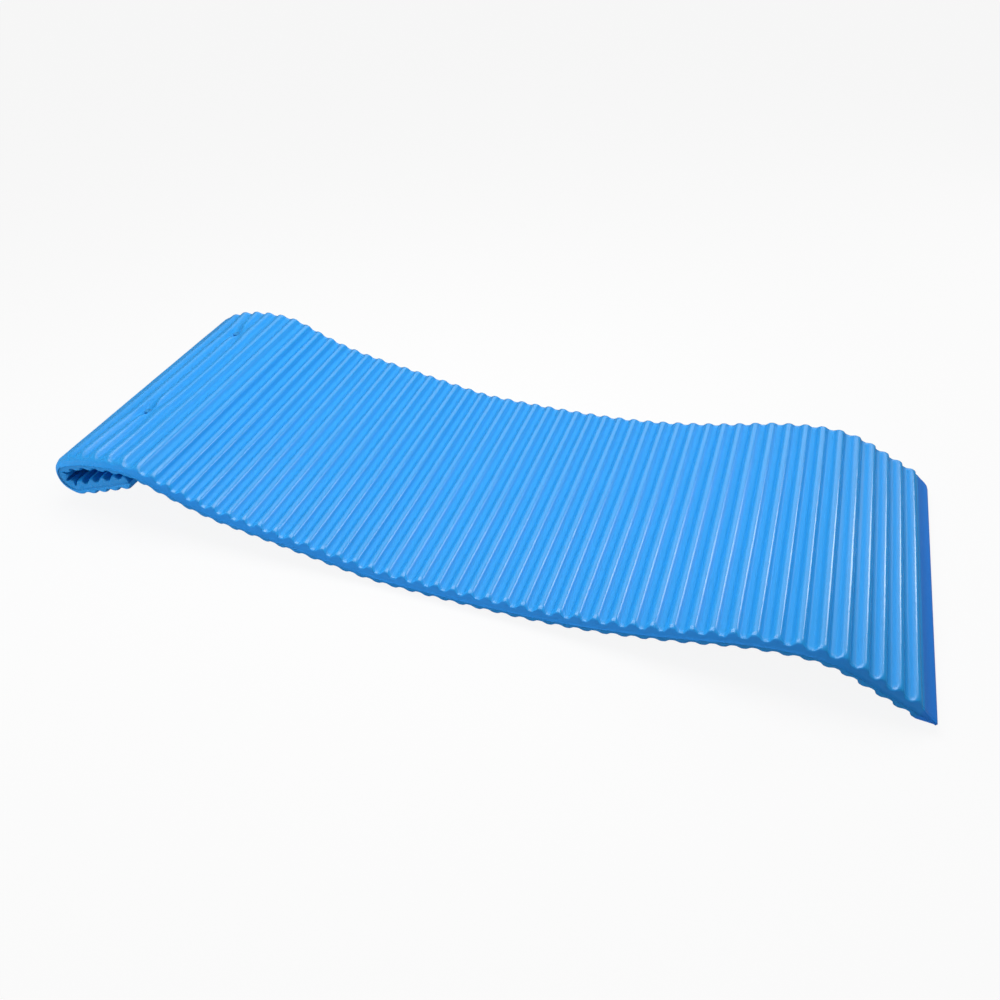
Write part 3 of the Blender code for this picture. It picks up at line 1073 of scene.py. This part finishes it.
    def wandering(self, along: Term, across: Term) -> Term:
        """Distance at which the rib rule is read: ribs wander, bow and are drawn in at the ties.

        Args:
            along: Distance along the mat.
            across: Place across the mat.

        Returns:
            The distance for the rib rule.
        """
        bench, sizes, mould, ties = self.bench, self.sizes, self.mould, self.ties
        place = bench.combine(along * mould.wander_along, across * mould.wander_across, 0.0)
        seen = along + bench.uneven(place, 1.0, 1.0) * mould.wander
        bow = self.size("Bow", mould.bow)
        across_share = across / (sizes.width * 0.5)
        arch = 1.0 - across_share * across_share
        from_middle = bench.math("ABSOLUTE", along / sizes.pitch - mould.bow_middle)
        near_head = 1.0 - bench.stepped(from_middle, 0.0, mould.bow_reach)
        seen = seen - bow * arch * near_head
        for tie_along, tie_across in self.marks:
            off_along = along - tie_along
            off_across = across - tie_across
            spread = off_along * off_along * (1.0 / ties.pinch_along ** 2)
            spread = spread + off_across * off_across * (1.0 / ties.pinch_across ** 2)
            pull = bench.math("EXPONENT", spread * -1.0) * ties.pinch_pull
            seen = seen + off_along * pull
        return seen

    def dimpled(self, height: Term, along: Term, across: Term, is_upper: Term) -> Term:
        """Height with the dimples that the ties press into the upper skin.

        Args:
            height: Height of the ribbed face.
            along: Distance along the mat.
            across: Place across the mat.
            is_upper: 1 on the upper face, 0 on the lower one.

        Returns:
            The height with the dimples.
        """
        bench, ties = self.bench, self.ties
        seat = self.size("Tie seat", self.sizes.groove_height - ties.press)
        for tie_along, tie_across in self.marks:
            off_along = (along - tie_along) / ties.dimple_along
            off_across = (across - tie_across) / ties.dimple_across
            spread = bench.math("SQRT", off_along * off_along + off_across * off_across)
            press = bench.stepped(spread, 1.0, ties.dimple_floor) * is_upper
            lower = bench.math("MINIMUM", height, seat)
            height = bench.blend(press, height, lower)
        return height

    def run(self, name: str, rows: bpy.types.Object, section: bpy.types.Object,
            marks: Sequence[tuple[float, float]], finish: bpy.types.Material,
            end_gap: float) -> bpy.types.Object:
        """Evaluate the tree and keep its result as a plain mesh.

        Args:
            name: Name of the piece.
            rows: The line of rows.
            section: The line of columns.
            marks: Places of the ties on the upper skin, along and across.
            finish: The piece's material.
            end_gap: Gap between the upper and the lower side where the mat's ends close.

        Returns:
            The piece, with no modifier left on it.
        """
        modifier = rows.modifiers.new("ribs", "NODES")
        modifier.node_group = self.bench.tree
        identifiers = self.bench.identifiers
        for key, value in (self.values | {"End gap": end_gap}).items():
            modifier[identifiers[key]] = value
        for number, (along, across) in enumerate(marks):
            modifier[identifiers[f"Tie mark {number + 1}"]] = (along, across, 0.0)
        modifier[identifiers["Section"]] = section
        modifier[identifiers["Finish"]] = finish
        depsgraph = bpy.context.evaluated_depsgraph_get()
        mesh = bpy.data.meshes.new_from_object(
            rows.evaluated_get(depsgraph), preserve_all_data_layers=True, depsgraph=depsgraph)
        rows.modifiers.remove(modifier)
        mesh.name = name
        return put_in_scene(name, mesh)


def darker(colour: Colour, share: float) -> Colour:
    """A darker shade of a colour."""
    return (colour[0] * share, colour[1] * share, colour[2] * share, 1.0)


@dataclass(frozen=True)
class VinylFinish:
    """Glossy vinyl over foam, deeper in colour on the welded lip, with painted shade on the side walls.
    """

    colour: Colour = (0.026, 0.385, 0.930, 1.0)
    # The lip's own deeper colour, which the side walls are also turned towards as painted shade.
    deep_and_wall_shade: Colour = (0.018, 0.250, 0.890, 1.0)
    # How much painted shade the side walls get, away from the fold and round it.
    wall_painted_shade: float = 0.55
    wall_painted_shade_fold: float = 0.20
    fold_from: float = 0.04
    fold_to: float = 0.30
    fold_dull: float = 0.10
    lip_blend: float = 0.004
    cloud_noise: tuple[float, float] = (7.0, 3.0)
    cloud_share: float = 0.16
    cloud_shade: float = 0.80
    roughness: float = 0.17
    wear_noise: tuple[float, float] = (60.0, 4.0)
    wear_less: float = 0.02
    wear_more: float = 0.04
    dull: float = 0.40
    sheen: float = 0.56
    dull_sheen: float = 0.24
    polish_from: float = 0.30
    polish_to: float = 0.95
    grain_noise: tuple[float, float] = (900.0, 2.0)
    grain: float = 0.00003

    def material(self, name: str, sizes: SheetSizes) -> bpy.types.Material:
        """Make the material.

        Args:
            name: Name of the material.
            sizes: The sheet's sizes, for where the lip begins.

        Returns:
            The material.
        """
        dye = Dye(name)
        place, along = dye.coordinates("Object"), dye.attribute("along")
        cloud = dye.noise(place, *self.cloud_noise)
        mottled = dye.mottled(cloud, self.cloud_share, self.colour, self.cloud_shade)
        fold = dye.stepped(along, self.fold_to, self.fold_from)
        wall_painted_shade = dye.spread(fold, self.wall_painted_shade, self.wall_painted_shade_fold)
        # Painted shade: the side walls turn part way to the deeper colour, less so round the fold.
        wall_shaded = dye.mix(dye.attribute("wall") * wall_painted_shade, mottled, self.deep_and_wall_shade)
        lip = dye.stepped(along, sizes.lip_start - self.lip_blend, sizes.lip_start + self.lip_blend)
        dye.feed("Base Color", dye.mix(lip, wall_shaded, self.deep_and_wall_shade))
        wear = dye.noise(place, *self.wear_noise)
        worn = dye.worn(wear, self.roughness, self.wear_less, self.wear_more) + fold * self.fold_dull
        polish = dye.stepped(dye.attribute("polish"), self.polish_from, self.polish_to)
        dye.feed("Roughness", dye.spread(polish, self.dull, worn))
        dye.feed("Specular IOR Level", dye.spread(polish, self.dull_sheen, self.sheen))
        dye.bump(dye.noise(place, *self.grain_noise), self.grain)
        return dye.material


TOP_VINYL = VinylFinish()
# Painted shade: the lower skin gets a darker copy of the top vinyl's colour, for the shade under the mat.
UNDERSIDE_VINYL_PAINTED_SHADE = VinylFinish(
    colour=(0.014, 0.300, 0.760, 1.0), wall_painted_shade=0.1, wall_painted_shade_fold=0.1)


@dataclass(frozen=True)
class FoamFinish:
    """Closed-cell foam, matt and finely pitted."""

    colour: Colour = (0.24, 0.52, 0.88, 1.0)
    cloud_noise: tuple[float, float] = (30.0, 3.0)
    cloud_share: float = 0.3
    cloud_shade: float = 0.7
    roughness: float = 0.9
    cell_scale: float = 700.0
    cells: float = 0.0004

    def material(self, name: str) -> bpy.types.Material:
        """Make the material.

        Args:
            name: Name of the material.

        Returns:
            The material.
        """
        dye = Dye(name)
        place = dye.coordinates("Object")
        cloud = dye.noise(place, *self.cloud_noise)
        dye.feed("Base Color", dye.mottled(cloud, self.cloud_share, self.colour, self.cloud_shade))
        dye.shader.inputs["Roughness"].default_value = self.roughness
        cells = dye.step("ShaderNodeTexVoronoi", {"Vector": place, "Scale": self.cell_scale}, "Distance")
        dye.bump(cells, self.cells)
        return dye.material


@dataclass(frozen=True)
class TieFinish:
    """Moulded plastic of the ties."""

    colour: Colour = (0.026, 0.32, 0.74, 1.0)
    cloud_noise: tuple[float, float] = (180.0, 3.0)
    cloud_share: float = 0.4
    cloud_shade: float = 0.75
    roughness: float = 0.36
    wear_less: float = 0.05
    wear_more: float = 0.08
    grain_noise: tuple[float, float] = (2500.0, 2.0)
    grain: float = 0.00005

    def material(self, name: str) -> bpy.types.Material:
        """Make the material.

        Args:
            name: Name of the material.

        Returns:
            The material.
        """
        dye = Dye(name)
        place = dye.coordinates("Object")
        cloud = dye.noise(place, *self.cloud_noise)
        dye.feed("Base Color", dye.mottled(cloud, self.cloud_share, self.colour, self.cloud_shade))
        dye.feed("Roughness", dye.worn(cloud, self.roughness, self.wear_less, self.wear_more))
        dye.bump(dye.noise(place, *self.grain_noise), self.grain)
        return dye.material


class Shading(Bench):
    """Builds the nodes of a material or of the world."""

    def attribute(self, name: str) -> Term:
        """Number that the mesh carries under a name."""
        return self.step("ShaderNodeAttribute", {}, "Fac", attribute_name=name)

    def coordinates(self, kind: str) -> Term:
        """Coordinates of one kind."""
        return self.step("ShaderNodeTexCoord", {}, kind)

    def path(self, kind: str) -> Term:
        """1 for rays of one kind, 0 for the others."""
        return self.step("ShaderNodeLightPath", {}, kind)

    def spread(self, value: Term, start: Number, end: Number, low: float = 0.0,
               high: float = 1.0) -> Term:
        """Value taken from the range low to high to the range start to end."""
        return self.step("ShaderNodeMapRange", {0: value, 1: low, 2: high, 3: start, 4: end})

    def mix(self, share: Term, start: Union[Term, Colour], end: Union[Term, Colour]) -> Term:
        """Colour between two colours."""
        return self.step("ShaderNodeMix", {0: share, 6: start, 7: end}, 2, data_type="RGBA")


class Dye(Shading):
    """Builds one material round a Principled shader."""

    usual_noise = (0.3, 0.7)

    def __init__(self, name: str) -> None:
        """Start a material.

        Args:
            name: Name of the material.
        """
        self.material = bpy.data.materials.new(name)
        self.material.use_nodes = True
        super().__init__(self.material.node_tree)
        self.shader = self.tree.nodes["Principled BSDF"]

    def feed(self, name: str, value: Term) -> None:
        """Send a value to an input of the shader."""
        self.link(value, self.shader.inputs[name])

    def bump(self, height: Term, distance: float) -> None:
        """Bump the surface by a height."""
        inputs = {"Height": height, "Distance": distance, "Strength": 1.0}
        self.feed("Normal", self.step("ShaderNodeBump", inputs))

    def mottled(self, cloud: Term, share: float, colour: Colour, shade: float) -> Term:
        """Colour that a cloud turns a share of the way to its darker shade."""
        return self.mix(cloud * share, colour, darker(colour, shade))

    def worn(self, wear: Term, roughness: float, less: float, more: float) -> Term:
        """Roughness that wear makes a little less or more."""
        return self.spread(wear, roughness - less, roughness + more, *self.usual_noise)


@dataclass
class RibbedMat:
    """The mat: upper skin, lower skin and foam core."""

    sizes: SheetSizes = field(default_factory=SheetSizes)
    mould: MouldSizes = field(default_factory=MouldSizes)
    ties: TieSizes = field(default_factory=TieSizes)

    def __post_init__(self) -> None:
        """Work out how the mat lies and where the ties go through it."""
        self.lie = Lie(self.sizes)
        self.place_in_frame()
        self.rows = Rows(self.lie, self.mould)
        half = self.sizes.width / 2
        self.tie_across = (-half + self.ties.inset_near, half - self.ties.inset_far)
        self.section = Section(self.sizes, self.mould, self.tie_across)

    def place_in_frame(self) -> None:
        """Move the line so that lip and head reach the construction model's box."""
        _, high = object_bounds()
        lie, sizes = self.lie, self.sizes
        foot = lie.point(np.array([sizes.lip_end + sizes.lip_nose]))[0]
        middles = (np.arange(sizes.top_ribs) + 0.5) * sizes.pitch
        distance = np.concatenate([middles - sizes.crest / 2, middles + sizes.crest / 2])
        crests = lie.point(distance) + lie.normal(distance) * self.fold_height(distance)[:, None]
        lie.shift = np.array([high.x - foot[0], 0.0, high.z - crests[:, 2].max()])

    def fold_height(self, distance: np.ndarray) -> np.ndarray:
        """Height of the upper crests, which the fold stretches flatter."""
        sizes = self.sizes
        return sizes.thickness / 2 + sizes.rise / 2 * (1.0 - sizes.fold_stretch * self.lie.bend(distance))

    def tie_frame(self) -> tuple[np.ndarray, np.ndarray, float]:
        """Where the ties stand: place and direction on the upper layer, and drop to the tucked one.

        Returns:
            The place on the line, the unit vector up, and the drop.
        """
        distance = np.array([self.ties.rib * self.sizes.pitch])
        place = self.lie.point(distance)[0]
        up = self.lie.normal(distance)[0]
        start, end = self.lie.point(np.array([-self.lie.fold_length, self.sizes.head_end]))
        run = (end - start) / np.linalg.norm(end - start)
        level = np.array([-run[2], 0.0, run[0]])
        drop = (place - start) @ level / (up @ level)
        return place, up, drop

    def tie_marks(self) -> list[tuple[float, float]]:
        """Places where the ties press the upper skin: on top and on the tucked layer.

        Returns:
            The distance along the mat and the place across it, for each mark.
        """
        place, up, drop = self.tie_frame()
        below = place - up * drop
        start = self.lie.point(np.array([-self.lie.fold_length]))[0]
        tucked = -self.lie.fold_length - float(np.linalg.norm(below - start))
        top = self.ties.rib * self.sizes.pitch
        return [(along, across) for along in (top, tucked) for across in self.tie_across]

    def build(self) -> None:
        """Build, dress and hang up the three pieces of the mat."""
        tree = SheetTree(self.sizes, self.mould, self.ties)
        pieces = (
            ("upper_skin_formed", "upper_skin", self.section.skin(Face.UPPER),
             TOP_VINYL.material("vinyl_upper", self.sizes), "vinyl_skin", self.mould.skin_gap),
            ("lower_skin_formed", "lower_skin", self.section.skin(Face.LOWER),
             UNDERSIDE_VINYL_PAINTED_SHADE.material("vinyl_lower", self.sizes), "vinyl_skin", self.mould.skin_gap),
            ("foam_core_formed", "foam_core", self.section.core(),
             FoamFinish().material("foam"), "foam", 0.0),
        )
        rows = self.rows.make()
        for name, node, loop, finish, slot, gap in pieces:
            section = self.section.make("section", loop)
            piece = tree.run(name, rows, section, self.tie_marks(), finish, gap)
            bpy.data.objects.remove(section)
            hang(piece, node)
            report(piece)
        bpy.data.objects.remove(rows)


def hang(piece: bpy.types.Object, node: str) -> None:
    """Let a piece stand for its node and move with the mat.

    Args:
        piece: The piece.
        node: The node that it stands for.
    """
    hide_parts(node)
    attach(piece, ROOT_BODY)


def report(piece: bpy.types.Object) -> None:
    """Log a piece's name and size.

    Args:
        piece: The piece.
    """
    faces = sum(len(face.vertices) - 2 for face in piece.data.polygons)
    size = piece.dimensions * 1000
    log.info("%s: %d triangles, %.0f x %.0f x %.0f mm", piece.name, faces, size.x, size.y, size.z)


@dataclass
class Ties:
    """Two ties, each a button on a shank and a washer below."""

    mat: RibbedMat
    sides: int = 48
    round_steps: int = 5
    round_share: float = 0.42
    chamfer_share: float = 0.3
    dish_share: float = 0.45
    dish_floor: float = 0.8
    dish_depth: float = 0.0007
    weld: float = 0.000005
    sharp: float = math.radians(50.0)

    def build(self) -> None:
        """Build, dress and hang up the buttons and washers."""
        place, up, drop = self.mat.tie_frame()
        place = place + self.mat.lie.shift
        seat = self.mat.sizes.groove_height - self.mat.ties.press
        finish = TieFinish().material("tie_plastic")
        for side, across in zip(("near", "far"), self.mat.tie_across):
            frame = self.frame(place, up, across)
            for kind, half_section in (("button", self.button), ("washer", self.washer)):
                piece = self.turned(f"tie_{kind}_{side}_formed", half_section(seat, drop), frame)
                piece.data.materials.append(finish)
                hang(piece, f"tie_{kind}_{side}")
                report(piece)

    @staticmethod
    def frame(place: np.ndarray, up: np.ndarray, across: float) -> Matrix:
        """Matrix whose Z axis is the tie's axis.

        Args:
            place: Place on the line at half the mat's thickness.
            up: Unit vector up the tie.
            across: Place of the tie across the mat.

        Returns:
            The matrix.
        """
        axis = Vector(up)
        side = Vector((0.0, 1.0, 0.0))
        along = side.cross(axis)
        turn = Matrix((along, side, axis)).transposed().to_4x4()
        return Matrix.Translation((place[0], across, place[2])) @ turn

    def rounded(self, radius: float, low: float, high: float, bore: float) -> list[tuple[float, float]]:
        """Half section of a disc with a soft rim, from its bore below to the rim's top.

        Args:
            radius: The disc's radius.
            low: Height of its lower face.
            high: Height of its upper face.
            bore: Radius where the section starts.

        Returns:
            Radius and height of each point.
        """
        soft = (high - low) * self.round_share
        points = [(bore, low)]
        for start, middle in ((-1.0, low + soft), (0.0, high - soft)):
            for step in range(self.round_steps + 1):
                angle = math.pi / 2 * (start + step / self.round_steps)
                points.append((radius - soft + soft * math.cos(angle), middle + soft * math.sin(angle)))
        return points

    def button(self, seat: float, drop: float) -> list[tuple[float, float]]:
        """Half section of the button and its shank, bottom to top.

        Args:
            seat: Height of the pressed skin over the line.
            drop: Distance down to the tucked layer's line.

        Returns:
            Radius and height of each point.
        """
        sizes = self.mat.ties
        low = seat + sizes.gap
        bottom = -(drop + seat) - sizes.gap - sizes.head_height
        shank = sizes.shank_radius
        chamfer = shank * self.chamfer_share
        tail = [(0.0, bottom), (shank - chamfer, bottom), (shank, bottom + chamfer), (shank, low)]
        head = self.rounded(sizes.head_radius, low, low + sizes.head_height, shank)[1:]
        dish = sizes.head_radius * self.dish_share
        top = low + sizes.head_height
        floor = top - self.dish_depth
        return tail + head + [(dish, top), (dish * self.dish_floor, floor), (0.0, floor)]

    def washer(self, seat: float, drop: float) -> list[tuple[float, float]]:
        """Half section of the washer, a closed ring.

        Args:
            seat: Height of the pressed skin over the line.
            drop: Distance down to the tucked layer's line.

        Returns:
            Radius and height of each point.
        """
        sizes = self.mat.ties
        high = -(drop + seat) - sizes.gap
        low = high - sizes.head_height
        bore = sizes.shank_radius + sizes.gap
        ring = self.rounded(sizes.head_radius, low, high, bore)
        return ring + [(bore, high), (bore, low)]

    def turned(self, name: str, profile: list[tuple[float, float]], frame: Matrix) -> bpy.types.Object:
        """Turn a half section about the frame's Z axis.

        Args:
            name: Name of the piece.
            profile: Radius and height of each point.
            frame: Where the piece stands.

        Returns:
            The piece, with its place in its mesh.
        """
        mesh = bmesh.new()
        line = [mesh.verts.new((radius, 0.0, height)) for radius, height in profile]
        edges = [mesh.edges.new(pair) for pair in zip(line, line[1:])]
        bmesh.ops.spin(mesh, geom=line + edges, cent=(0, 0, 0), axis=(0, 0, 1),
                       angle=2 * math.pi, steps=self.sides, use_merge=False, use_duplicate=False)
        bmesh.ops.remove_doubles(mesh, verts=mesh.verts, dist=self.weld)
        bmesh.ops.recalc_face_normals(mesh, faces=mesh.faces)
        bmesh.ops.transform(mesh, matrix=frame, verts=mesh.verts)
        data = bpy.data.meshes.new(name)
        mesh.to_mesh(data)
        mesh.free()
        data.shade_smooth()
        data.set_sharp_from_angle(angle=self.sharp)
        return put_in_scene(name, data)


@dataclass(frozen=True)
class Softbox:
    """A rectangular lamp that looks at a point of the mat.

    Attributes:
        name: Name of the lamp.
        place: Where it hangs.
        size: Its width and height.
        radiance: How bright its face is.
        target: The point that it looks at.
        in_gloss: Whether the mat reflects it.
    """

    name: str
    place: Point
    size: tuple[float, float]
    radiance: float
    target: Point = (0.0, 0.0, 0.06)
    in_gloss: bool = True

    def build(self) -> None:
        """Put the lamp in the scene."""
        lamp = bpy.data.lights.new(self.name, "AREA")
        lamp.shape = "RECTANGLE"
        lamp.size, lamp.size_y = self.size
        lamp.energy = self.radiance * math.pi * self.size[0] * self.size[1]
        item = put_in_scene(self.name, lamp)
        item.location = self.place
        item.visible_glossy = self.in_gloss
        aim = Vector(self.target) - Vector(self.place)
        item.rotation_euler = aim.to_track_quat("-Z", "Y").to_euler()


@dataclass(frozen=True)
class Room:
    """What the mat sees round the lamps: a dim room with a pale wall behind the mat.

    Attributes:
        sky: Strength of the soft light from everywhere.
        dim: Strength of the room in reflections.
        wall: Strength of the pale wall in reflections.
        corner: Strength of the dark corner at the right.
        back: Range of Y over which the wall sets in, as are left in X and low and high in Z.
        right: Range of X over which the dark corner sets in.
    """

    sky: float = 0.25
    dim: float = 0.22
    wall: float = 1.75
    corner: float = 0.06
    back: tuple[float, float] = (0.05, 0.45)
    left: tuple[float, float] = (-0.66, -0.26)
    low: tuple[float, float] = (0.16, 0.46)
    high: tuple[float, float] = (0.93, 0.84)
    right: tuple[float, float] = (0.20, 0.52)

    def build(self) -> None:
        """Make the world: white to the camera, the room to reflections, a soft sky to the rest."""
        world = bpy.data.worlds.new("studio")
        bpy.context.scene.world = world
        world.use_nodes = True
        nodes = Shading(world.node_tree)
        background = nodes.tree.nodes["Background"]
        background.inputs["Color"].default_value = (1.0, 1.0, 1.0, 1.0)
        x, y, z = nodes.separate(nodes.coordinates("Generated"))
        level: Number = self.wall
        for value, reach in ((y, self.back), (x, self.left), (z, self.low), (z, self.high)):
            level = nodes.spread(nodes.stepped(value, *reach), self.dim, level)
        level = nodes.spread(nodes.stepped(x, *self.right), level, self.corner)
        light = nodes.spread(nodes.path("Is Glossy Ray"), self.sky, level)
        light = nodes.spread(nodes.path("Is Camera Ray"), light, 1.0)
        nodes.link(light, background.inputs["Strength"])


@dataclass
class Studio:
    """Plain floor, soft light and the camera."""

    eye: Point = (0.4757, -1.352, 1.2294)
    pitch: float = math.radians(40.80)
    yaw: float = math.radians(-19.246)
    sensor: float = 36.0
    focal_share: float = 0.8577
    floor_shade: float = 0.92
    floor_in_gloss: float = 0.25
    floor_shadow: float = 0.10
    floor_size: float = 14.0
    floor_drop: float = 0.0002
    room: Room = Room()
    softboxes: tuple[Softbox, ...] = (
        Softbox("overhead", (-0.13, 0.10, 1.50), (1.7, 1.1), 3.35, (-0.13, 0.0, 0.06)),
        Softbox("window", (2.0, 1.9, 1.4), (0.6, 0.8), 8.5),
        Softbox("fill", (-1.90, -1.40, 0.24), (1.2, 0.34), 11.0, (-0.80, -0.33, 0.06),
                in_gloss=False),
    )

    def build(self) -> None:
        """Build the studio."""
        self.make_camera()
        self.room.build()
        self.make_floor()
        for softbox in self.softboxes:
            softbox.build()
        bpy.context.scene.view_settings.view_transform = "Standard"

    def make_camera(self) -> None:
        """Camera at the photograph's place and angle."""
        data = bpy.data.cameras.new("camera")
        data.sensor_width = self.sensor
        data.lens = self.sensor * self.focal_share
        item = put_in_scene("camera", data)
        item.location = self.eye
        item.rotation_euler = (math.pi / 2 - self.pitch, 0.0, -self.yaw)
        bpy.context.scene.camera = item

    def make_floor(self) -> None:
        """Plain white floor that keeps a faint shadow."""
        place = (0.0, 0.0, -self.floor_drop)
        bpy.ops.mesh.primitive_plane_add(size=self.floor_size, location=place)
        floor = bpy.context.object
        floor.name = "floor"
        material = bpy.data.materials.new("floor")
        material.use_nodes = True
        nodes = Shading(material.node_tree)
        nodes.tree.nodes.clear()
        greys = [(shade, shade, shade, 1.0) for shade in (self.floor_shade, self.floor_in_gloss)]
        shade = nodes.mix(nodes.path("Is Glossy Ray"), *greys)
        matt = nodes.step("ShaderNodeBsdfDiffuse", {"Color": shade})
        white = nodes.step("ShaderNodeEmission", {})
        share = nodes.spread(nodes.path("Is Camera Ray"), 0.0, 1.0 - self.floor_shadow)
        mix = nodes.step("ShaderNodeMixShader", {0: share, 1: matt, 2: white})
        nodes.node("ShaderNodeOutputMaterial", {"Surface": mix})
        floor.data.materials.append(material)
        floor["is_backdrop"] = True


def clear_scene() -> None:
    """Remove what a new file holds."""
    for item in list(bpy.data.objects):
        bpy.data.objects.remove(item)


def main() -> None:
    """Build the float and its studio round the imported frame."""
    logging.basicConfig(level=logging.INFO, format="%(name)s: %(message)s", stream=sys.stdout)
    clear_scene()
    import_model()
    studio = Studio()
    studio.build()
    mat = RibbedMat()
    mat.build()
    Ties(mat).build()
    bpy.context.view_layer.update()


if __name__ == "__main__":
    main()
